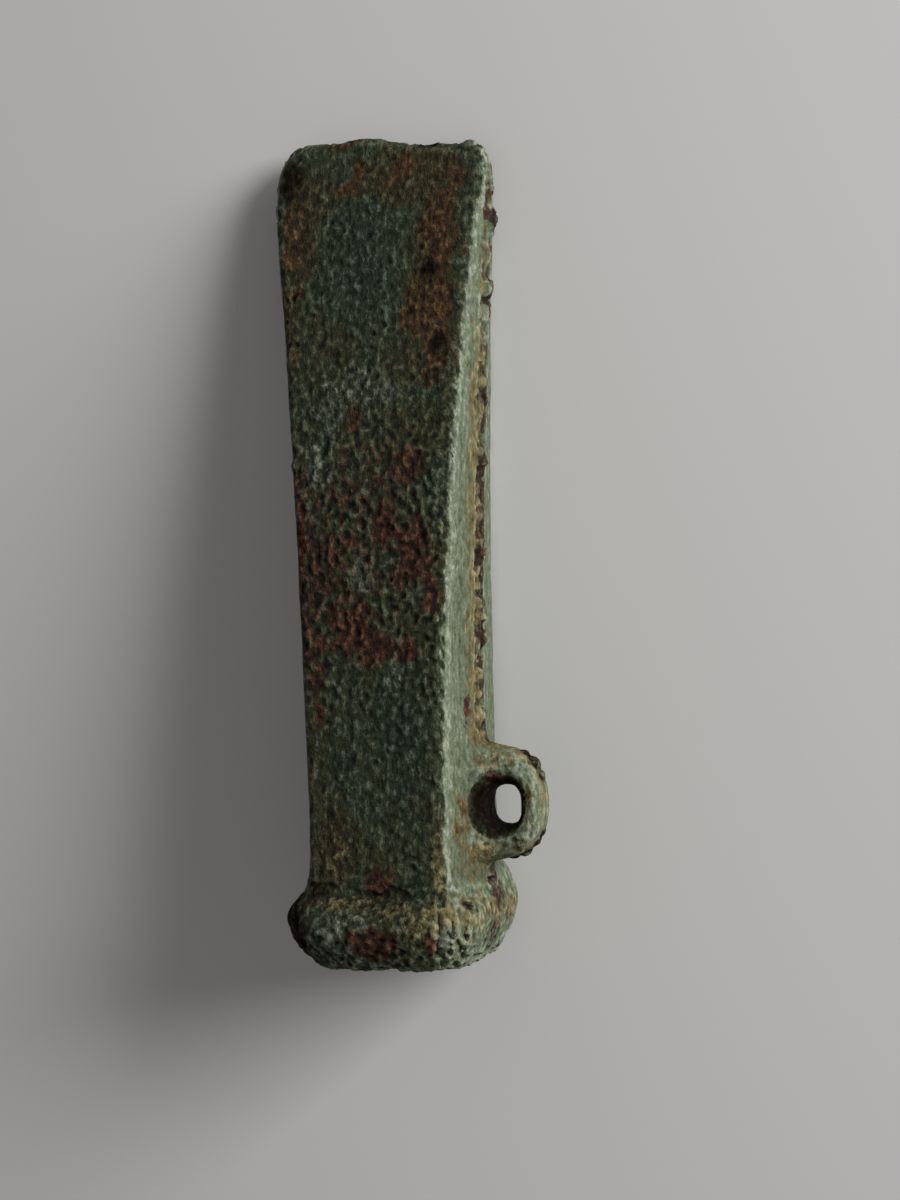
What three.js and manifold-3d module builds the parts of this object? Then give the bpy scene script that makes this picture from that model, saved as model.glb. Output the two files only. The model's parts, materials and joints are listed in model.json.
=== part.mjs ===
// Socketed axe head of the Late Bronze Age: one hollow bronze casting, with a moulded collar round its square
// mouth, a side loop for a lashing, mould seams down both narrow sides, and a blunt cutting edge. It lies on its back.
//
// Millimetres. The casting is drawn standing on its mouth: X runs across the broad faces, with the loop at +X,
// Y through the thickness, with the front face at -Y, and Z from the mouth to the cutting edge. The last lines of
// the file lay it down: the front face then looks up along +Z, and the cutting edge points along +Y.
import * as THREE from 'three';
import { mergeVertices } from 'three/addons/utils/BufferGeometryUtils.js';
import Module from 'manifold-3d';

const { lerp, clamp, smoothstep } = THREE.MathUtils;

// Driving dimensions.
const length = 127.5;        // mouth to the highest point of the cutting edge
const shoulder = 12;         // where the faces of the body start, above the collar
const body = {
  width: 22.5,               // across a broad face at the shoulder
  flare: 12.2,               // what the blade gains over that width by flareAt
  flareAt: 120,
  flarePower: 2.1,
  thickness: 23.6,           // front to back at the shoulder
  edgeThickness: 2.4,        // front to back just under the cutting edge
  taperPower: 2.1,           // 1 is a straight wedge, more keeps the body full for longer
  ridge: 1.8,                // how far each narrow side swells out to its seam
  arris: 1.7,                // radius of the four long corners
};
const collar = {
  half: 15.75,               // middle of a side to the axis, at the crest
  corner: 8.5,               // radius of its plan corners
  crest: 8.1,                // height of the crest above the mouth
  tilt: 0.09,                // the crest stands this much higher for each millimetre towards the back
  rise: { face: 4.5, side: 9 },                     // from the crest up to the neck
  fall: 1.22,                // the slope under it would meet the body at this many times the crest's height
  underCorner: 6,            // radius of the plan corners at the mouth
  shift: -0.7,               // the collar sits a little off the body's middle
  lip: 0.7,                  // rounding of the mouth's outer rim
};
const ledge = { depth: 0.6, below: 2 };             // the faces end in a small step above the neck
const edge = {
  leftCorner: { across: 6.4, down: 13 },            // the broken corner
  rightCorner: { across: 4, down: 9 },
  bevel: { across: 0.85, down: 1.3 },               // rounding of the cutting edge itself
  slump: { drop: 2.4, from: -3.5, to: 9.5 },        // the edge is worn lower on the loop's side
};
const socket = {
  mouth: 9.2,                // half width of the square opening
  floor: 96,                 // depth
  floorHalfWidth: 8,
  floorHalfDepth: 2.6,
  widthPower: 2,             // how late its sides close in, as taperPower for the body
  depthPower: 2.6,
  corner: 3.2,
  lip: 0.4,                  // wear round the opening
};
const loop = {
  x: 16.95, z: 24,           // middle of its eye
  eye: { across: 2.5, up: 2.95, power: 3 },
  outside: { right: 6.5, left: 8, up: 9, down: 8.1, power: 2.2 },
  depth: 3.35,               // half its width from front to back
  root: { depth: 1.9, spread: 0.24 },               // what it gains where it springs from the side
};
// Casting flash left standing on the two seams: the height of its middle, its length and how far it stands out.
const seamFlash = {
  right: [
    [11.6, 6, 1.3], [38.5, 6, 0.5], [50.5, 10, 1.1], [62, 6, 1.6], [74.7, 6.5, 0.9], [87, 5, 0.6],
    [100.3, 10, 0.7], [113.3, 7, 0.75],
  ],
  left: [[13.6, 4.6, 3.8], [38, 12, 0.5], [62, 9, 0.6], [84, 6, 0.5]],
};
const seam = { bead: 0.35, foot: 0.9 };             // the low line that runs the whole length
const rimChip = { x: 12.2, y: 3.6, radius: 1.9, depth: 0.9 };

// Stations round a quarter of the outer section, and of the socket's.
const sideSteps = 2;
const cornerSteps = 4;
const faceSteps = 3;

const wasm = await Module();
wasm.setup();

// How much of the collar is present at a point of the body's outline: 1 at its crest, 0 on the body.
function collarShare(z, point) {
  const sideways = Math.abs(point.x) / (Math.abs(point.x) + Math.abs(point.y));
  const crest = collar.crest + collar.tilt * point.y;
  const reach = z > crest ? lerp(collar.rise.face, collar.rise.side, sideways) : collar.fall * crest;
  const away = clamp(Math.abs(z - crest) / reach, 0, 1);
  return (1 - away * away) ** 1.6;
}

// What a rounded end takes off at a height: a quarter ellipse that starts `down` below the top.
function rounding({ across, down }, z, top = length) {
  const t = clamp((z - (top - down)) / down, 0, 1);
  return across * (1 - Math.sqrt(1 - t * t));
}

function flashHeight(side, z) {
  const standing = seamFlash[side].map(([middle, long, high]) => {
    const t = clamp(2 * Math.abs(z - middle) / long, 0, 1);
    return high * (1 - t * t);
  });
  return seam.bead + Math.max(...standing);
}

// The outline of the body alone at a height, and that of the collar at its crest, with the rim's rounding on both.
function outlinesAt(z) {
  const flare = body.flare * clamp((z - shoulder) / (body.flareAt - shoulder), 0, 1.2) ** body.flarePower;
  const taper = clamp((z - shoulder) / (length - shoulder), 0, 1) ** body.taperPower;
  const step = z < shoulder ? ledge.depth * smoothstep(z, shoulder - ledge.below, shoulder - 0.4) : 0;
  const lip = collar.lip * (1 - Math.sqrt(1 - clamp(1 - z / collar.lip, 0, 1) ** 2));
  const depth = lerp(body.thickness, body.edgeThickness, taper) / 2 - step - lip - rounding(edge.bevel, z);
  const arris = z < shoulder ? lerp(collar.underCorner, body.arris, smoothstep(z, 7, shoulder - 0.5)) : body.arris;
  const seamShare = smoothstep(z, collar.crest, collar.crest + 3) * smoothstep(length - z, 0, 4);
  const ofBody = (side, cut) => quarter({
    halfWidth: (body.width + flare) / 2 - step - lip - rounding(cut, z),
    depth,
    corner: Math.min(arris, 0.8 * depth),
    ridge: body.ridge * smoothstep(z, collar.crest, shoulder) * lerp(1, 0.7, taper),
    bead: seamShare * flashHeight(side, z),
    foot: seam.foot,
  });
  const half = collar.half - lip;
  const ofCollar = quarter({ halfWidth: half, depth: half, corner: collar.corner, ridge: 0, foot: seam.foot });
  return {
    onBody: outline(ofBody('right', edge.rightCorner), ofBody('left', edge.leftCorner)),
    onCollar: outline(ofCollar, ofCollar),
  };
}

function outerOutline(z) {
  const { onBody, onCollar } = outlinesAt(z);
  return onBody.map((point, i) => {
    const share = collarShare(z, point);
    return point.clone().lerp(onCollar[i], share).add(new THREE.Vector2(collar.shift * share, 0));
  });
}

// A quarter of a section, from the seam at (halfWidth + ridge, 0) round the corner to the middle of a face.
function quarter({ halfWidth, depth, corner, ridge, bead = 0, foot = 0 }) {
  const lean = Math.atan2(ridge, depth);
  const centre = new THREE.Vector2(halfWidth - corner * (1 - Math.sin(lean)) / Math.cos(lean), depth - corner);
  const onSide = (y) => new THREE.Vector2(halfWidth + ridge * (1 - y / depth), y);
  const onCorner = (angle) => new THREE.Vector2(Math.cos(angle), Math.sin(angle)).multiplyScalar(corner).add(centre);
  const start = onCorner(lean);
  const points = [onSide(0).add(new THREE.Vector2(bead, 0)), onSide(Math.min(foot, 0.4 * start.y))];
  for (let i = 1; i < sideSteps + 1; i++) points.push(points[1].clone().lerp(start, i / (sideSteps + 1)));
  for (let i = 0; i <= cornerSteps; i++) points.push(onCorner(lerp(lean, Math.PI / 2, i / cornerSteps)));
  const end = points.at(-1);
  for (let i = 1; i <= faceSteps; i++) points.push(new THREE.Vector2(lerp(end.x, 0, i / faceSteps), depth));
  return points;
}

// The whole outline, counter-clockwise seen from +Z, from a quarter for the right side and one for the left.
function outline(right, left) {
  const flip = (p, x, y) => new THREE.Vector2(p.x * x, p.y * y);
  return [
    ...right.slice(0, -1).map((p) => flip(p, 1, 1)),
    ...left.slice(1).reverse().map((p) => flip(p, -1, 1)),
    ...left.slice(0, -1).map((p) => flip(p, -1, -1)),
    ...right.slice(1).reverse().map((p) => flip(p, 1, -1)),
  ];
}

// A cylinder with one ring of vertices for each outline, and each ring's vertices moved onto it.
function loft(heights, outlineAt, heightAt = (z) => z) {
  const rings = heights.map(outlineAt);
  const columns = rings[0].length;
  const rows = heights.length - 1;
  const geometry = new THREE.CylinderGeometry(1, 1, 1, columns, rows);
  const position = geometry.getAttribute('position');
  for (let i = 0; i < position.count; i++) {
    const onRing = Math.hypot(position.getX(i), position.getZ(i)) > 0.5;
    const turn = Math.atan2(position.getX(i), position.getZ(i)) / (2 * Math.PI);
    const column = (Math.round(turn * columns) + columns) % columns;
    const row = Math.round((position.getY(i) + 0.5) * rows);
    const { x, y } = onRing ? rings[row][column] : new THREE.Vector2();
    position.setXYZ(i, x, y, heightAt(heights[row], x));
  }
  return geometry;
}

function spaced(from, to, step) {
  const count = Math.round((to - from) / step);
  return Array.from({ length: count }, (_, i) => lerp(from, to, i / count));
}

// The cutting edge is worn down towards the loop's side.
function wornHeight(z, x) {
  const { drop, from, to } = edge.slump;
  return z - drop * smoothstep(z, length - 16, length) * smoothstep(x, from, to);
}

function bodyGeometry() {
  const heights = [
    0, 0.2, collar.lip, ...spaced(2, shoulder - 1.2, 1.25), shoulder - 0.35, shoulder,
    ...spaced(shoulder + 0.8, length - 10, 2.1), ...spaced(length - 10, length - 1.3, 1.45),
    length - 1.3, length - 0.8, length - 0.3, length,
  ];
  return loft(heights, outerOutline, wornHeight);
}

function socketGeometry() {
  const heights = [-1, 0, socket.lip, ...spaced(5, socket.floor - 6, 9), socket.floor - 6, socket.floor - 2, socket.floor];
  const outlineAt = (z) => {
    const depth = clamp(z / socket.floor, 0, 1);
    const worn = socket.lip * clamp(1 - z / socket.lip, 0, 1);
    const round = rounding({ across: 1.2, down: 6 }, z, socket.floor);
    const halfWidth = lerp(socket.mouth, socket.floorHalfWidth, depth ** socket.widthPower) + worn - round;
    const halfDepth = lerp(socket.mouth, socket.floorHalfDepth, depth ** socket.depthPower) + worn - round;
    const shape = quarter({ halfWidth, depth: halfDepth, corner: Math.min(socket.corner, 0.8 * halfDepth), ridge: 0 });
    return outline(shape, shape);
  };
  return loft(heights, outlineAt);
}

// Distance from the middle to a rounded oval in a direction, with sizes for each side of the middle.
function ovalReach(angle, { right, left, up, down, power }) {
  const across = Math.abs(Math.cos(angle)) / (Math.cos(angle) > 0 ? right : left);
  const along = Math.abs(Math.sin(angle)) / (Math.sin(angle) > 0 ? up : down);
  return (across ** power + along ** power) ** (-1 / power);
}

// A torus whose ring is stretched between the eye and the outside of the loop.
function loopGeometry() {
  const geometry = new THREE.TorusGeometry(1, 0.4, 12, 32);
  const position = geometry.getAttribute('position');
  const { across, up, power } = loop.eye;
  const eye = { right: across, left: across, up, down: up, power };
  for (let i = 0; i < position.count; i++) {
    const around = Math.atan2(position.getY(i), position.getX(i));
    const reach = Math.hypot(position.getX(i), position.getY(i)) - 1;
    const section = Math.atan2(position.getZ(i), reach);
    const inner = ovalReach(around, eye);
    const root = smoothstep(-Math.cos(around), -0.1, 0.8);
    const outer = ovalReach(around, loop.outside) * (1 + loop.root.spread * root);
    const away = lerp(inner, outer, (1 + Math.cos(section)) / 2);
    const y = -(loop.depth + loop.root.depth * root) * Math.sin(section);
    position.setXYZ(i, loop.x + away * Math.cos(around), y, loop.z + away * Math.sin(around));
  }
  return geometry;
}

function chipGeometry() {
  const chip = new THREE.SphereGeometry(rimChip.radius, 10, 8);
  chip.scale(1.3, 1, rimChip.depth / rimChip.radius);
  return chip.translate(rimChip.x, rimChip.y, 0);
}

function toSolid(geometry) {
  geometry.deleteAttribute('normal');
  geometry.deleteAttribute('uv');
  const merged = mergeVertices(geometry, 1e-3);
  return new wasm.Manifold(new wasm.Mesh({
    numProp: 3,
    vertProperties: merged.getAttribute('position').array,
    triVerts: new Uint32Array(merged.index.array),
  }));
}

function toGeometry(solid) {
  const { vertProperties, triVerts } = solid.getMesh();
  const geometry = new THREE.BufferGeometry();
  geometry.setAttribute('position', new THREE.BufferAttribute(vertProperties, 3));
  geometry.setIndex(new THREE.BufferAttribute(triVerts, 1));
  geometry.computeVertexNormals();
  return geometry;
}

// The slope of the line that touches the back of the collar and the back of the body: the surface it lies on.
function restingSlope(geometry) {
  const position = geometry.getAttribute('position');
  const points = Array.from({ length: position.count }, (_, i) => [position.getZ(i), position.getY(i)]);
  const underCollar = points.filter(([z, y]) => z < shoulder && y > 0.9 * collar.half);
  const underBody = points.filter(([z, y]) => z > 2 * shoulder && y > 0);
  const steepest = ([z0, y0]) => Math.max(...underBody.map(([z, y]) => (y - y0) / (z - z0)));
  return Math.min(...underCollar.map(steepest));
}

const bronze = new THREE.MeshStandardMaterial({ color: 0x3d5345, roughness: 0.75, metalness: 0.25 });

const casting = toSolid(bodyGeometry())
  .add(toSolid(loopGeometry()))
  .subtract(toSolid(socketGeometry()))
  .subtract(toSolid(chipGeometry()));

const axeHead = new THREE.Mesh(toGeometry(casting), bronze);
axeHead.name = 'axe_head';

const lying = new THREE.Group();
lying.add(axeHead);
lying.rotation.x = -(Math.PI / 2 - Math.atan(restingSlope(axeHead.geometry)));
lying.updateMatrixWorld(true);
const box = new THREE.Box3().setFromObject(lying, true);
const middle = box.getCenter(new THREE.Vector3());
lying.position.set(-middle.x, -middle.y, -box.min.z);

export default lying;
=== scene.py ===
import json
import math

import bmesh
import bpy
import numpy as np
from mathutils import Matrix, Vector, noise


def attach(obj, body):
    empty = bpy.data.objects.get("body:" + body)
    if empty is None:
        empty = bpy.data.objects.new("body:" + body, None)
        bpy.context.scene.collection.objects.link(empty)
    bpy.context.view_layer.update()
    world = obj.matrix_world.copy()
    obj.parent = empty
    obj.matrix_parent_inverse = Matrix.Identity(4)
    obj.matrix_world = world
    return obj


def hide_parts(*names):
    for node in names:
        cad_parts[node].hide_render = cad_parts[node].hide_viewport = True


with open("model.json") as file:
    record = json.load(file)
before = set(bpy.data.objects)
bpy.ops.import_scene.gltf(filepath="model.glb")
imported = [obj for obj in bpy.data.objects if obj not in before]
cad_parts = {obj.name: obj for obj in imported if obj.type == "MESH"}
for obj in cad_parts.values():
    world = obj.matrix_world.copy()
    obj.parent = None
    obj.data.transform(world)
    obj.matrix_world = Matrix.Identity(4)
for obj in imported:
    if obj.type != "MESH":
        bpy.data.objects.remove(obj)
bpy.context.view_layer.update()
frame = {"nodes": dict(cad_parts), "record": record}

mm = 0.001

# The axe's own axes: x across the broad faces with the loop at +x, y from the front face to the back,
# z from the mouth to the cutting edge. The mount on the rim says how they lie. Sizes are in millimetres.
rimMount = frame["record"]["mounts"][0]
rimPoint = Vector((-0.1, -10.4, 0)) * mm
alongAxe = -Vector(rimMount["axis"]).normalized()
acrossAxe = Vector((1, 0, 0))
throughAxe = alongAxe.cross(acrossAxe)
axeToRow = Matrix((acrossAxe, throughAxe, alongAxe)).transposed().to_4x4()
axeToRow.translation = Vector(rimMount["pos_m"]) - axeToRow.to_3x3() @ rimPoint
rowToAxe = axeToRow.inverted()
print("frame loaded")

# the forms that the relief and the patina follow
form = {
    "neck": 12.5,                             # top of the collar
    "edge": 124,                              # where the cutting edge's bevel starts
    "shoulder": 12, "halfWidth": 11.25,       # the body there
    "flare": 6.1, "flareLength": 108, "flarePower": 2.1,
    "seam": 1.6,                              # how far the mould flash reaches to front and back
    "loop": (16.95, 0, 24),                   # middle of its eye
    "loopReach": 11,                          # from there along the axe
    "socket": 9.8,                            # half its width, with room to spare
    "socketFloor": ((0, 0, 94), (8.5, 3, 4)),
}


def smoothStep(values, low, high):
    t = np.clip((values - low) / (high - low), 0, 1)
    return t * t * (3 - 2 * t)


def fractal(points, size, octaves=4, offset=0.0):
    # layered noise, about -1 to 1, with lumps of that size along each axis
    scaled = points / np.array(size, float) + offset
    return np.array([noise.fractal(p, 1.0, 2.0, octaves) for p in scaled.tolist()])


def blob(points, centre, radii):
    # 1 in the middle of an ellipse or ellipsoid, down to 0 at its edge
    away = (points - np.array(centre, float)) / np.array(radii, float)
    return np.clip(1 - np.sum(away * away, axis=1), 0, 1)


def blobs(points, places):
    made = np.zeros(len(points))
    for centre, radii, strength in places:
        made = np.maximum(made, strength * blob(points, centre, radii))
    return made


def placed(name, data):
    made = bpy.data.objects.new(name, data)
    bpy.context.scene.collection.objects.link(made)
    return made


castMesh = {
    "voxel": 0.36,
    "triangles": 186000,
    "insideTriangles": 9000,                          # left of the socket's walls, which hardly show
    "fillet": ((13.4, 0, 24.2), (4.4, 9.5, 15)),      # where the loop's roots run into the side
    "filletRounds": 90,
}


def applied(piece):
    # leaves on the piece the mesh its modifiers make
    evaluated = piece.evaluated_get(bpy.context.evaluated_depsgraph_get())
    mesh = bpy.data.meshes.new_from_object(evaluated)
    piece.modifiers.clear()
    piece.data = mesh
    piece.vertex_groups.clear()


def pointsOf(mesh):
    values = np.zeros(len(mesh.vertices) * 3)
    mesh.vertices.foreach_get("co", values)
    turn = np.array(rowToAxe.to_3x3())
    return (values.reshape(-1, 3) @ turn.T + np.array(rowToAxe.translation)) / mm


def normalsOf(mesh):
    values = np.zeros(len(mesh.vertices) * 3)
    mesh.vertices.foreach_get("normal", values)
    return values.reshape(-1, 3) @ np.array(rowToAxe.to_3x3()).T


def setPoints(mesh, points):
    turn = np.array(axeToRow.to_3x3())
    rows = (points * mm) @ turn.T + np.array(axeToRow.translation)
    rows[:, 2] = np.maximum(rows[:, 2], 0)
    mesh.vertices.foreach_set("co", rows.ravel())
    mesh.update()


def edgesOf(mesh):
    return np.array([e.vertices[:] for e in mesh.edges])


def neighbourMeans(values, edges):
    total = np.zeros_like(values)
    count = np.zeros(len(values))
    for a, b in ((0, 1), (1, 0)):
        np.add.at(total, edges[:, a], values[edges[:, b]])
        np.add.at(count, edges[:, a], 1)
    return total / count[:, None]


def evened(values, edges):
    return neighbourMeans(values[:, None], edges)[:, 0]


def hollowness(points, normals, edges):
    # how far a point lies below its neighbours, less than 0 on corners and ridges
    return np.einsum("ij,ij->i", neighbourMeans(points, edges) - points, normals)


def insideSocket(points, normals):
    x, y, z = points.T
    inward = (normals[:, 0] * x + normals[:, 1] * y) < 0
    walls = inward & (np.abs(x) < form["socket"]) & (np.abs(y) < form["socket"])
    middle, reach = form["socketFloor"]
    floor = np.all(np.abs(points - middle) < reach, axis=1)
    return (walls | floor) & (z > 1)


def halfWidthAt(z):
    along = np.clip(z - form["shoulder"], 0, None) / form["flareLength"]
    return form["halfWidth"] + form["flare"] * along ** form["flarePower"]


def trianglesOf(mesh):
    return sum(len(p.vertices) - 2 for p in mesh.polygons)


def thinned(piece, chosen, ratio):
    # only the chosen points are thinned, to that share of all the triangles
    group = piece.vertex_groups.new(name="thinned")
    group.add(np.nonzero(chosen)[0].tolist(), 1, "REPLACE")
    fewer = piece.modifiers.new("fewer", "DECIMATE")
    fewer.vertex_group = group.name
    fewer.vertex_group_factor = 1000          # the rest keeps every triangle
    fewer.ratio = ratio
    applied(piece)


def makeAxe():
    mesh = frame["nodes"]["axe_head"].data.copy()
    mesh.materials.clear()
    merged = bmesh.new()
    merged.from_mesh(mesh)
    bmesh.ops.remove_doubles(merged, verts=merged.verts, dist=1e-6)
    merged.to_mesh(mesh)
    merged.free()
    piece = placed("axeHead", mesh)

    remesh = piece.modifiers.new("remesh", "REMESH")
    remesh.mode = "VOXEL"
    remesh.voxel_size = castMesh["voxel"] * mm
    applied(piece)

    inside = insideSocket(pointsOf(piece.data), normalsOf(piece.data))
    whole = trianglesOf(piece.data)
    thinned(piece, inside, (whole - 2 * inside.sum() + castMesh["insideTriangles"]) / whole)
    print("cast mesh:", whole, "triangles, socket thinned to", castMesh["insideTriangles"])
    return piece


axe = makeAxe()

# what some three thousand years did to its surface: heights, with the sizes of the lumps
wear = {
    "lumps": 0.15, "lumpSize": (7, 7, 11),            # uneven casting
    "crumb": 0.42, "crumbSize": (1.25, 1.25, 1.6),    # corrosion crust, strongest along the faces' middle
    "grain": 0.12, "grainSize": (0.75, 0.75, 1.7),
    "pits": 0.28, "pitSize": 1.5, "pittedSize": (5, 5, 8),
    "chips": 0.4, "chipSize": (1.1, 1.1, 2.2),        # along the arrises
    "crustEdge": 0.35, "crustLine": 12.2,             # the front face's crust stands over the neck
    "ragged": 0.45, "raggedSize": (9, 1, 2.6),        # how unevenly the mould flash has broken off
    "wander": 0.3, "wanderSize": (9, 1, 4),
    "crease": 0.05,                                   # how hollow or sharp the deepest creases are
}
# bites out of the corners and edges: middle, radius, depth
nicks = (
    ((-16.9, -2.5, 116.6), 1.2, 0.8), ((-13.6, -8.2, 79.2), 1.3, 0.75), ((-15.6, -4.8, 107), 1.1, 0.35),
    ((-15, -6.4, 97), 0.9, 0.35), ((-14.2, -7.6, 88), 1.0, 0.35), ((-12.3, -10.4, 62), 1.0, 0.3),
    ((-11.9, -11, 52), 1.1, 0.3), ((-11.4, -11.8, 33), 1.0, 0.3), ((7.6, 0, 126.4), 2.2, 0.35),
    ((-6.5, -0.5, 127.6), 1.2, 0.2), ((11.4, 0, 125.9), 1.0, 0.15), ((-13.2, -0.8, 125.2), 1.2, 0.35),
    ((12.6, 5.5, 0.4), 2.0, 0.8), ((9.6, 10.4, 0.2), 1.6, 0.5), ((-6, -12.2, 0.4), 1.5, 0.35),
    ((1.5, -12.2, 0.3), 1.8, 0.3), ((13.2, -3.6, 0.8), 1.2, 0.3), ((-3.5, 12, 0.5), 1.6, 0.4),
    ((11.1, -11.7, 56.5), 0.9, 0.3), ((11.5, -11, 66.5), 0.8, 0.3), ((13.2, -8.1, 87), 0.9, 0.3),
    ((16, 4.2, 111), 1.3, 0.4), ((12.3, 10.6, 63), 1.2, 0.35), ((11.5, 11.7, 40), 1.0, 0.3),
)
# lumps left standing: middle, radius, height
knobs = (
    ((21.9, 0, 30.4), 1.4, 0.7), ((22.9, 0, 28.6), 1.1, 0.5), ((20.2, 0, 31.8), 0.9, 0.3),
    ((23.3, 0, 19.4), 1.2, 0.55), ((22.4, 0, 17.9), 1.2, 0.45), ((20.1, 0, 16.2), 1.3, 0.55),
    ((18.1, 0, 15.4), 1.1, 0.4), ((14.7, -0.4, 125), 1.4, 0.6), ((-1.5, -0.4, 127.4), 3.2, 0.35),
    ((-13.4, -8.4, 76.8), 1.0, 0.35), ((-11.9, -11.2, 57), 1.0, 0.25),
)


def push(points, normals, places, sign):
    # moves what lies near each place along its normal, by at most the place's height
    for centre, radius, height in places:
        points += normals * (sign * height * blob(points, centre, (radius,) * 3))[:, None]


def fillCreases(points, mesh, edges, weight, rounds):
    for _ in range(rounds):
        setPoints(mesh, points)
        normals = normalsOf(mesh)
        hollow = hollowness(points, normals, edges)
        points += normals * (0.7 * weight * np.maximum(hollow, 0))[:, None]


def breakFlash(points):
    # the thin fins along both seams end where they happened to break, and wander a little
    x, y, z = points.T
    offLoop = (x < 0) | (np.abs(z - form["loop"][2]) > form["loopReach"])
    seam = (z > form["neck"]) & (z < form["edge"]) & offLoop & (np.abs(y) < form["seam"])
    beyond = np.maximum(np.abs(x) - halfWidthAt(z), 0) * seam
    along = np.stack((np.sign(x), np.zeros(len(z)), z), axis=1)
    left = 1 - wear["ragged"] * smoothStep(fractal(along, wear["raggedSize"], 3, 2.2), -0.35, 0.45)
    points[:, 0] -= np.sign(x) * beyond * (1 - left)
    wander = wear["wander"] * fractal(along, wear["wanderSize"], 2, 9.1)
    points[:, 1] += wander * smoothStep(beyond, 0.1, 0.5)


def crustEdge(points, normals):
    # 1 on the front face down to an uneven line over the neck
    x, z = points[:, 0], points[:, 2]
    line = wear["crustLine"] + 1.1 * fractal(points, (4, 40, 40), 4, 4.4) + 1.2 * smoothStep(-x, 2, 9)
    front = smoothStep(-normals[:, 1], 0.2, 0.7)
    return smoothStep(z - line, -0.25, 0.25) * (1 - smoothStep(z, 14, 24)) * front


def weather(piece):
    mesh = piece.data
    points = pointsOf(mesh)
    edges = edgesOf(mesh)
    atRoots = smoothStep(blob(points, *castMesh["fillet"]), 0, 0.3)
    fillCreases(points, mesh, edges, atRoots, castMesh["filletRounds"])
    breakFlash(points)
    setPoints(mesh, points)
    normals = normalsOf(mesh)
    z = points[:, 2]
    share = np.where(insideSocket(points, normals), 0.3, 1.0)
    sharp = np.clip(-hollowness(points, normals, edges) / wear["crease"], 0, 1)
    for _ in range(3):
        sharp = np.maximum(sharp * 0.97, evened(sharp, edges))

    facing = smoothStep(np.abs(normals[:, 1]), 0.5, 0.9)          # the two broad faces
    body = smoothStep(z, 11, 13)
    middle = np.exp(-((z - 64) / 24) ** 2)
    rough = (0.4 + 0.6 * middle) * facing * body + 0.12 * (1 - facing) * body + 0.75 * (1 - body)
    crumb = fractal(points, wear["crumbSize"], 4, 11.7)
    grain = fractal(points, wear["grainSize"], 3, 5.3)

    cells = (points / wear["pitSize"]).tolist()
    near = np.array([noise.voronoi(p, distance_metric="DISTANCE")[0][0] for p in cells])
    lowOnCollar = (1 - body) * smoothStep(-z, -8, -5)
    pitted = smoothStep(fractal(points, wear["pittedSize"], 2, 21.3), 0.0, 0.5) * facing * body
    pits = smoothStep(-near, -0.42, -0.12) * np.maximum(pitted, lowOnCollar)
    chips = smoothStep(fractal(points, wear["chipSize"], 3, 8.8), 0.1, 0.4)
    chips = chips * smoothStep(sharp, 0.2, 0.7) * body

    height = wear["lumps"] * fractal(points, wear["lumpSize"], 2, 3.1)
    height += wear["crumb"] * rough * crumb + wear["grain"] * grain * (0.35 + 0.65 * facing)
    height += wear["crustEdge"] * crustEdge(points, normals) - wear["pits"] * pits - wear["chips"] * chips
    points += normals * (height * share)[:, None]
    push(points, normals, nicks, -1)
    push(points, normals, knobs, 1)
    setPoints(mesh, points)
    thinned(piece, np.full(len(points), True), castMesh["triangles"] / trianglesOf(mesh))
    print("surface worn:", trianglesOf(piece.data), "triangles")


weather(axe)

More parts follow.
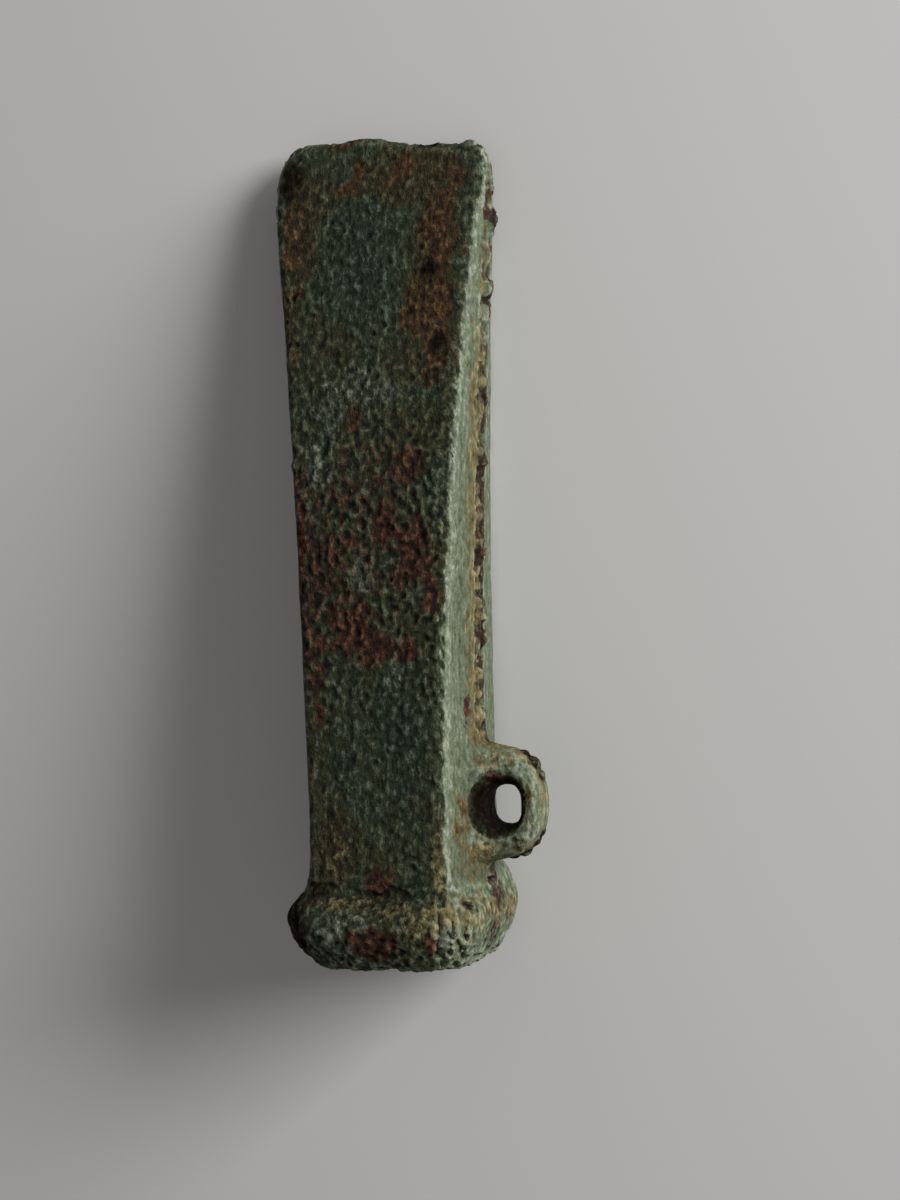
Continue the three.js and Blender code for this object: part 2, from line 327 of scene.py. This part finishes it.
# Where each colour of the patina lies, with a few patches of painted shade and painted highlight among
# them.
# First on the front face and the front of the collar: middle (x, z), half-sizes, strength.
frontPatches = {
    "deep": (((-2, 108), (9, 15), 0.9), ((4, 36), (8, 16), 0.7), ((-3, 30), (9, 12), 0.5),
             ((2, 72), (9, 6), 0.5)),
    # the first pale patch, on the collar's front-right corner, is a painted highlight
    "pale": (((11.6, 5.6), (2.4, 3.6), 0.9), ((1, 89), (9, 6), 0.6), ((-9, 76), (5, 6), 0.7),
             ((-7, 9), (3, 2), 0.6), ((-1.5, 60), (3, 9), 0.75), ((-6, 86), (6, 6), 0.5),
             ((4, 44), (3, 4), 0.4), ((-3, 26), (4, 6), 0.35)),
    "brown": (((-6.4, 19), (5, 7.5), 0.9), ((-14.6, 96), (2.6, 15), 0.9), ((-12.4, 114), (4.4, 12), 0.9),
              ((6, 120.5), (12, 5.5), 1), ((10, 104), (6, 18), 0.8), ((5, 92), (6, 6), 0.5),
              ((0, 10.2), (14, 1.6), 0.9), ((-12.5, 60), (3.6, 26), 0.9), ((5, 80), (9, 8), 0.45),
              ((-12, 30), (2.4, 26), 0.7)),
    "ochre": (((10, 16.4), (1.9, 5.5), 0.8), ((8, 6.4), (3.8, 2.8), 0.8), ((-4, 10), (8, 1.4), 0.7),
              ((5, 9.8), (7, 1.2), 0.9), ((-6, 17.5), (2.6, 3.6), 0.45), ((10.5, 8.6), (4, 3), 0.8),
              ((4, 2.4), (6, 1.6), 0.45)),
    "purple": (((-8.6, 61), (4.4, 11), 0.85), ((-11.4, 54), (2.6, 12), 0.8), ((4.6, 60), (3.2, 6), 0.55),
               # the last two purple patches, on the collar's left corner, add painted shade there
               ((-14, 5), (4.4, 5), 1), ((-13, 10.5), (4, 2), 0.9)),
    "rust": (((-2.6, 83.5), (1.7, 3.4), 0.8), ((5.6, 75.8), (4.6, 3.2), 0.85), ((-12, 67), (2.2, 10), 0.8),
             ((2, 67), (3.6, 5.6), 0.8), ((7.2, 63.2), (3.6, 6.5), 1), ((9.6, 57), (2.2, 5), 0.9),
             ((-3, 52), (5.6, 7), 0.85), ((0.2, 48.6), (4.4, 3), 1), ((6, 48), (2.4, 2.2), 0.95),
             ((-6, 49), (2.4, 2.4), 0.8), ((-8.6, 39.5), (1.6, 3.4), 0.8), ((0.6, 13.4), (3.4, 2.2), 0.9),
             ((0.3, 4.6), (5.4, 3.4), 1), ((9.8, 4.2), (1.6, 1.6), 0.9), ((-9.5, 47), (2.4, 9), 0.7),
             ((-2, 66), (13, 24), 0.36)),
    "amber": (((10.6, 111), (3.8, 11), 0.95), ((8.8, 100.5), (5.4, 6.5), 1), ((10.2, 93), (2.6, 7), 0.95),
              ((4.4, 121.6), (3.4, 3), 0.95), ((-3, 122), (2, 2.8), 0.85), ((-5.2, 119), (2.6, 2.2), 0.85),
              ((-13.6, 113), (2.6, 9), 0.7), ((-4, 127.3), (9, 1.1), 0.8),
              ((-12.6, 104.5), (1.6, 2.2), 0.85), ((13, 120), (2.4, 4), 0.7)),
    # the second dark patch, on the blade's bevelled top-left corner, is painted shade
    "dark": (((9.2, 106), (2.4, 2.4), 0.9), ((-14.6, 122), (3.6, 5), 0.9), ((-9.8, 12), (2.4, 1.8), 0.8),
             # the first dark patch here, on the collar's left corner, is painted shade
             ((-14.4, 3.5), (3, 3.4), 0.8), ((10.6, 94), (2, 3), 0.7)),
}
# on the narrow side with the loop: middle (y, z), half-sizes, strength
sidePatches = {
    "deep": (((-6, 58), (2, 30), 0.3),),
    "pale": (((-3.4, 31), (1.7, 3.2), 0.8), ((-5.2, 17.4), (3, 1.8), 0.7), ((-10, 50), (1.6, 22), 0.6),
             ((-7, 77), (2.6, 8), 0.6), ((-4, 100), (2, 12), 0.5)),
    "brown": (((-0.4, 84), (1.3, 14), 0.9), ((-0.4, 60), (1.3, 16), 0.8), ((-1, 5), (5, 3), 0.6)),
    "ochre": (((-1.2, 48), (3.7, 38), 1), ((-5, 20), (7, 9), 0.75), ((-3, 9), (9, 2.6), 0.8),
              ((-0.6, 104), (2, 24), 0.8), ((5, 8), (9, 4), 0.6), ((0, 31), (4, 4), 0.8)),
    "purple": (((0.4, 10.6), (3.4, 3.2), 0.8), ((-9.8, 9.6), (1.6, 1.2), 0.8),
               ((-1.2, 4.6), (2.6, 1.4), 0.8)),
    "rust": (((-4.5, 38.5), (1.7, 3.2), 0.85), ((-0.6, 66), (0.9, 10), 0.6)),
    "amber": (((-0.6, 116), (1.2, 9), 0.5), ((-7.6, 22.4), (2, 3.4), 0.55), ((-2.6, 71), (1, 9), 0.4)),
    "dark": (((-9.4, 9.4), (1.4, 1), 0.8), ((-2, 4.4), (1.6, 0.9), 0.8), ((1.4, 3), (3, 1.4), 0.7)),
}
# anywhere on the loop and the collar: middle (x, y, z), half-sizes, strength
roundPatches = {
    # the second pale patch, under the loop's lower root, is a painted highlight
    "pale": (((-1, -12, 5.5), (13, 7, 6.5), 0.8), ((13.5, -4, 16), (2.5, 3, 1.6), 0.7)),
    # the first brown patch, on the loop's underside, is painted shade
    "brown": (((18.2, 0, 17.6), (5, 6, 2.6), 0.9), ((13, -3, 13.5), (3, 5, 2), 0.5)),
    "ochre": (((12, -8, 8), (6, 8, 5), 0.7), ((21.4, -2, 24.5), (2.2, 5, 5.5), 0.6),
              ((14, -4, 16.5), (4, 6, 4.5), 0.8), ((16.5, -3, 31), (5, 5, 2.4), 0.55),
              ((2, -12, 8.6), (12, 4, 2), 0.6)),
    "rust": (((16, -2.6, 28.4), (3.2, 2.4, 1.5), 0.85),),
}
# painted shade, with some dirt, in the eye of the loop, and painted shade on the corner of the collar away
# from the light
eyeShadeAndDirt = ((16.3, 0, 24), (5.4, 8, 5.8))
cornerShade = ((-15, -9, 4.5), (7, 9, 8.5))
loopRing = ((17.6, 0, 24), (7.2, 5.5, 9.6))          # the loop itself, which has no flash
# where the flash on the loop's side stands in dark lumps: height of the middle, half-length
seamLumps = ((11, 3), (50.5, 2.4), (62, 3), (74.7, 2.8), (87, 2), (100.3, 1.6), (113.3, 1.8))


def patchMasks(points, broad, warp):
    x, y, z = points.T
    front = broad * (y < 0)
    side = (1 - broad) * (x > 0)
    elsewhere = np.clip(1 - front - side, 0, 1)
    onFront = np.stack((x, z), axis=1) + warp * (0.9, 1.3)
    onSide = np.stack((y, z), axis=1) + warp * (0.5, 1.2)
    masks = {}
    for k, name in enumerate(frontPatches):
        scattered = 0.8 * smoothStep(fractal(points, (4, 4, 6), 3, 50.0 + 9 * k), 0.1, 0.7)
        flat = blobs(onFront, frontPatches[name]) * front + blobs(onSide, sidePatches[name]) * side
        masks[name] = np.maximum(flat + scattered * elsewhere, blobs(points, roundPatches.get(name, ())))
    return masks


def eyeMask(points, normals):
    # the walls of the loop's eye, which face its middle, where shade is painted, with some dirt
    x, z = points[:, 0], points[:, 2]
    middleX, _, middleZ = form["loop"]
    away = np.maximum(np.hypot(x - middleX, z - middleZ), 0.1)
    inward = ((middleX - x) * normals[:, 0] + (middleZ - z) * normals[:, 2]) / away
    return smoothStep(inward, 0.05, 0.45) * blob(points, *eyeShadeAndDirt) ** 0.3


def finMask(points, beyond, warp):
    # the back half of both fins, and the dark lumps on the loop's side
    x, y, z = points.T
    along = z + 1.6 * warp[:, 1]
    lumps = [1 - smoothStep(np.abs(along - middle), 0.3 * half, half) for middle, half in seamLumps]
    back = smoothStep(beyond, 0.2, 0.6) * smoothStep(y, -0.6, 0.0) * 0.8
    fin = back + smoothStep(beyond, 0.3, 0.8) * np.max(lumps, axis=0) * (x > 0)
    return np.clip(fin * (0.75 + 0.8 * warp[:, 0]), 0, 1)


def flankMask(points, warp):
    # soil along the seam, on the side that faces the front
    x, y, z = points.T
    near = smoothStep(y + 0.8 * warp[:, 0], -6.4, -3)
    return near * (y < 0.3) * (x > 0) * (z > 33) * (1 - smoothStep(z, 88, 104))


def paintMasks(piece):
    points, normals = pointsOf(piece.data), normalsOf(piece.data)
    edges = edgesOf(piece.data)
    x, y, z = points.T
    broad = smoothStep(np.abs(normals[:, 1]), 0.35, 0.8)
    narrow = smoothStep(np.abs(normals[:, 0]), 0.4, 0.8)
    for _ in range(2):
        broad = evened(broad, edges)
    warp = np.stack([fractal(points, (2.6, 2.6, 3.4), 3, 31.0 + 7 * k) for k in range(2)], axis=1)
    masks = patchMasks(points, broad, warp)

    onRing = blob(points, *loopRing) > 0
    beyond = (np.abs(x) - halfWidthAt(z)) * (z > form["neck"]) * ~onRing * (np.abs(y) < 2)
    eye, fin = eyeMask(points, normals), finMask(points, beyond, warp)
    knobPlaces = [(centre, (radius * 1.25,) * 3, 1) for centre, radius, _ in knobs]
    lumps = smoothStep(blobs(points, knobPlaces), 0, 0.5)
    inside = insideSocket(points, normals) * 0.6
    # painted shade on the collar's corner away from the light
    corner = 0.75 * smoothStep(blob(points, *cornerShade), 0.05, 0.5)
    # dark also takes painted shade in the loop's eye
    masks["dark"] = np.maximum.reduce((masks["dark"], eye, lumps * 0.8 * (z < 40), inside, corner))
    masks["purple"] = np.maximum(masks["purple"], fin)
    masks["ochre"] = np.maximum(masks["ochre"] * (1 - 0.6 * fin), 0.68 * flankMask(points, warp))
    arris = smoothStep(normals[:, 0], 0.35, 0.6) * (1 - smoothStep(normals[:, 0], 0.8, 0.95))
    masks["pale"] = np.maximum(masks["pale"], 0.55 * (arris * (y < 0) * (z > 12)))

    loopSide = smoothStep(x - halfWidthAt(z), -0.4, 0.3) * (np.abs(z - form["loop"][2]) < 16) * (1 - eye)
    flash = smoothStep(beyond, -0.1, 0.3) * (x > 0)
    masks["narrow"] = np.maximum.reduce((narrow * (1 - eye), loopSide, flash))
    hollow = hollowness(points, normals, edges) / wear["crease"]
    for _ in range(2):
        hollow = 0.5 * (hollow + evened(hollow, edges))
    masks["hollow"] = np.clip(0.5 + 0.9 * hollow, 0, 1)
    for name, values in masks.items():
        layer = piece.data.attributes.new(name, "FLOAT", "POINT")
        layer.data.foreach_set("value", values.astype(np.float32))
    print("patina laid out")


paintMasks(axe)
axe.data.polygons.foreach_set("use_smooth", [True] * len(axe.data.polygons))

# each colour as it runs from the hollows to the tips of the grain
tones = {
    "green": ((0.28, (0.007, 0.012, 0.005)), (0.44, (0.022, 0.033, 0.014)), (0.58, (0.044, 0.060, 0.029)),
              (0.74, (0.150, 0.175, 0.112))),
    "deep": ((0.28, (0.004, 0.009, 0.005)), (0.44, (0.014, 0.026, 0.012)), (0.58, (0.030, 0.050, 0.026)),
             (0.74, (0.125, 0.160, 0.120))),
    "olive": ((0.28, (0.008, 0.009, 0.003)), (0.46, (0.030, 0.031, 0.011)), (0.60, (0.054, 0.057, 0.023)),
              (0.76, (0.150, 0.148, 0.085))),
    "brown": ((0.28, (0.007, 0.005, 0.002)), (0.46, (0.028, 0.022, 0.007)), (0.60, (0.057, 0.047, 0.017)),
              (0.76, (0.150, 0.130, 0.070))),
    "side": ((0.26, (0.050, 0.058, 0.032)), (0.44, (0.100, 0.122, 0.072)), (0.58, (0.150, 0.182, 0.118)),
             (0.74, (0.300, 0.330, 0.240))),
    "amber": ((0.28, (0.009, 0.004, 0.002)), (0.46, (0.041, 0.020, 0.005)), (0.60, (0.086, 0.043, 0.011)),
              (0.76, (0.210, 0.140, 0.055))),
    "rust": ((0.28, (0.007, 0.003, 0.002)), (0.46, (0.036, 0.011, 0.005)), (0.60, (0.079, 0.026, 0.010)),
             (0.76, (0.170, 0.090, 0.052))),
    "purple": ((0.28, (0.005, 0.003, 0.002)), (0.46, (0.023, 0.011, 0.006)), (0.62, (0.050, 0.028, 0.014)),
               (0.78, (0.120, 0.095, 0.062))),
    "ochre": ((0.26, (0.030, 0.022, 0.007)), (0.44, (0.085, 0.068, 0.024)), (0.60, (0.165, 0.135, 0.058)),
              (0.76, (0.310, 0.270, 0.150))),
    "dark": ((0.34, (0.004, 0.003, 0.002)), (0.56, (0.013, 0.009, 0.005)), (0.78, (0.050, 0.040, 0.024))),
    "pale": ((0.28, (0.026, 0.034, 0.022)), (0.44, (0.070, 0.088, 0.060)), (0.60, (0.140, 0.165, 0.120)),
             (0.76, (0.330, 0.350, 0.280))),
}
patinaLook = {
    "grainSize": 0.7, "grainDrawn": 0.62,     # mm, and how far it is drawn out along the axe
    "speckScale": 3.4, "specks": 0.35,        # scales are in lumps per mm, then how strong they are
    "streakScale": 1.5, "streakDrawn": 0.12,  # the streaks on the narrow sides
    "streaks": 0.45,
    "cloudScale": 0.16,                       # where green turns to olive
    "patchScale": 0.55,                       # how the edges of the other colours break up
    "pitScale": 1.5,
    "hollows": 0.34,                          # how much darker the hollows are
    "bump": 0.85,                             # mm, height of the finest grain on the broad faces
    "sideBump": 0.3,                          # of that, on the narrow sides
    "roughness": (0.52, 0.8),
    "sheen": (0.22, 0.04),                    # how strongly the bare patina and the dark dirt and painted shade reflect
    # over the greens, from the lowest up: where each colour starts to show and where it covers
    "layers": (("deep", 0.2, 0.8), ("pale", 0.3, 0.9), ("brown", 0.15, 0.75), ("ochre", 0.2, 0.8),
               ("purple", 0.25, 0.65), ("rust", 0.3, 0.6), ("amber", 0.25, 0.65), ("dark", 0.3, 0.75)),
}


def makePatina():
    material = bpy.data.materials.new("patinatedBronze")
    material.use_nodes = True
    tree = material.node_tree
    shader = tree.nodes["Principled BSDF"]

    def node(kind, settings=None, **inputs):
        # inputs are named, or s0, s1 and so on by their place
        made = tree.nodes.new(kind)
        for key, value in (settings or {}).items():
            setattr(made, key, value)
        for key, value in inputs.items():
            socket = made.inputs[int(key[1:])] if key[1:].isdigit() else made.inputs[key]
            if isinstance(value, bpy.types.NodeSocket):
                tree.links.new(value, socket)
            else:
                socket.default_value = value
        return made

    def calc(kind, a, b=0.0, c=0.0):
        return node("ShaderNodeMath", {"operation": kind}, s0=a, s1=b, s2=c).outputs[0]

    def ranged(value, low, high, toLow=0.0, toHigh=1.0):
        made = node("ShaderNodeMapRange", {"interpolation_type": "SMOOTHSTEP"}, Value=value)
        for key, number in (("From Min", low), ("From Max", high), ("To Min", toLow), ("To Max", toHigh)):
            made.inputs[key].default_value = number
        return made.outputs[0]

    def grain(place, scale, detail, roughness):
        made = node("ShaderNodeTexNoise", Vector=place, Scale=scale, Detail=detail, Roughness=roughness)
        return made.outputs[0]

    def drawnOut(place, share):
        made = node("ShaderNodeMapping", Vector=place)
        made.inputs["Scale"].default_value = (1, 1, share)
        return made.outputs[0]

    def fromMiddle(value, strength, base):
        return calc("MULTIPLY_ADD", calc("SUBTRACT", value, 0.5), strength, base)

    def painted(value, stops):
        made = tree.nodes.new("ShaderNodeValToRGB")
        tree.links.new(value, made.inputs[0])
        elements = made.color_ramp.elements
        while len(elements) < len(stops):
            elements.new(0.5)
        for element, (position, colour) in zip(elements, stops):
            element.position = position
            element.color = (*colour, 1)
        return made.outputs[0]

    def over(below, above, amount):
        return node("ShaderNodeMix", {"data_type": "RGBA"}, s0=amount, s6=below, s7=above).outputs[2]

    def mask(name):
        return node("ShaderNodeAttribute", {"attribute_name": name}).outputs["Fac"]

    place = node("ShaderNodeMapping", Vector=node("ShaderNodeTexCoord").outputs["Object"])
    place.inputs["Location"].default_value = rowToAxe.translation / mm
    place.inputs["Rotation"].default_value = rowToAxe.to_euler()
    place.inputs["Scale"].default_value = (1 / mm, 1 / mm, 1 / mm)
    place = place.outputs[0]
    drawn = drawnOut(place, patinaLook["grainDrawn"])

    fine = grain(drawn, 1 / patinaLook["grainSize"], 9, 0.68)
    speck = grain(place, patinaLook["speckScale"], 4, 0.7)
    cloud = grain(drawn, patinaLook["cloudScale"], 5, 0.6)
    patchy = grain(place, patinaLook["patchScale"], 6, 0.65)
    streak = grain(drawnOut(place, patinaLook["streakDrawn"]), patinaLook["streakScale"], 5, 0.6)
    narrow, hollow = mask("narrow"), mask("hollow")

    # 0 in the hollows of the grain, 1 at its tips
    tip = fromMiddle(speck, patinaLook["specks"], fine)
    tip = calc("MULTIPLY_ADD", calc("SUBTRACT", 0.5, hollow), patinaLook["hollows"], tip)
    streaky = fromMiddle(streak, patinaLook["streaks"], tip)
    sideTip = node("ShaderNodeMix", {"data_type": "FLOAT"}, s0=narrow, s2=tip, s3=streaky).outputs[0]

    colour = over(painted(tip, tones["green"]), painted(tip, tones["olive"]), ranged(cloud, 0.44, 0.62))
    edge = fromMiddle(fine, 1.0, narrow)
    colour = over(colour, painted(sideTip, tones["side"]), ranged(edge, 0.3, 0.8))
    broken = fromMiddle(patchy, 2.4, calc("MULTIPLY", calc("SUBTRACT", fine, 0.5), 2.0))
    for name, low, high in patinaLook["layers"]:
        there = calc("MULTIPLY_ADD", broken, ranged(mask(name), 0.0, 0.3, 0.05, 1.0), mask(name))
        colour = over(colour, painted(sideTip, tones[name]), ranged(there, low, high))
    tree.links.new(colour, shader.inputs["Base Color"])
    smooth, rough = patinaLook["roughness"]
    tree.links.new(ranged(fine, 0.3, 0.7, rough, smooth), shader.inputs["Roughness"])
    sheen = ranged(mask("dark"), 0.2, 0.8, *patinaLook["sheen"])
    tree.links.new(sheen, shader.inputs["Specular IOR Level"])

    pit = node("ShaderNodeTexVoronoi", Vector=drawn, Scale=patinaLook["pitScale"]).outputs["Distance"]
    raised = calc("MULTIPLY_ADD", speck, 0.35, fine)
    raised = calc("MULTIPLY_ADD", ranged(pit, 0.05, 0.3), 0.22, raised)
    raised = calc("MULTIPLY_ADD", calc("MULTIPLY", streak, narrow), 0.25, raised)
    heights = calc("MULTIPLY", raised, ranged(narrow, 0.2, 0.9, 1.0, patinaLook["sideBump"]))
    bump = node("ShaderNodeBump", Height=heights)
    bump.inputs["Strength"].default_value = 1
    bump.inputs["Distance"].default_value = patinaLook["bump"] * mm
    tree.links.new(bump.outputs[0], shader.inputs["Normal"])
    return material


axe.data.materials.append(makePatina())
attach(axe, "root")
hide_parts("axe_head")
print("patina made")

# metres and watts
studio = {
    "table": 3.0,
    "tableTone": (0.80, 0.79, 0.775),
    "tableRoughness": 0.9,
    "keyFrom": (0.92, 0.38, 0.33),
    "keySize": 0.5,
    "keyPower": 13.5,
    "room": 0.165,
    "roomTone": (1, 0.985, 0.96),
}
# the camera stands in front of the broad face, round to the loop's side: degrees, then millimetres
view = {"round": 21, "lean": 2.05, "away": 357, "up": 55.7, "aside": 6.21, "lens": 69}


def makeTable():
    plane = bmesh.new()
    bmesh.ops.create_grid(plane, x_segments=1, y_segments=1, size=studio["table"])
    mesh = bpy.data.meshes.new("table")
    plane.to_mesh(mesh)
    plane.free()
    table = placed("table", mesh)
    paint = bpy.data.materials.new("palePlaster")
    paint.use_nodes = True
    shader = paint.node_tree.nodes["Principled BSDF"]
    shader.inputs["Base Color"].default_value = (*studio["tableTone"], 1)
    shader.inputs["Roughness"].default_value = studio["tableRoughness"]
    mesh.materials.append(paint)


def makeCamera():
    turn, lean = math.radians(view["round"]), math.radians(view["lean"])
    sideways = Vector((math.cos(turn), math.sin(turn), 0))
    away = Vector((-math.sin(turn), math.cos(turn), 0))
    endways = Vector((0, 0, 1))
    right = sideways * math.cos(lean) - endways * math.sin(lean)
    up = sideways * math.sin(lean) + endways * math.cos(lean)
    pose = Matrix((right, up, -away)).transposed().to_4x4()
    pose.translation = (right * view["aside"] + up * view["up"] - away * view["away"]) * mm
    camera = placed("camera", bpy.data.cameras.new("camera"))
    camera.data.lens = view["lens"]
    camera.data.clip_start = 0.01
    camera.matrix_world = axeToRow @ pose
    bpy.context.scene.camera = camera


def makeLights():
    key = placed("keyLight", bpy.data.lights.new("keyLight", "AREA"))
    key.data.size = studio["keySize"]
    key.data.energy = studio["keyPower"]
    key.location = studio["keyFrom"]
    key.rotation_euler = Vector(studio["keyFrom"]).to_track_quat("Z", "Y").to_euler()
    world = bpy.data.worlds.new("softRoom")
    world.use_nodes = True
    sky = world.node_tree.nodes["Background"]
    sky.inputs["Color"].default_value = (*studio["roomTone"], 1)
    sky.inputs["Strength"].default_value = studio["room"]
    bpy.context.scene.world = world
    bpy.context.scene.view_settings.view_transform = "Standard"


makeTable()
makeCamera()
makeLights()
print("table, camera and light set")
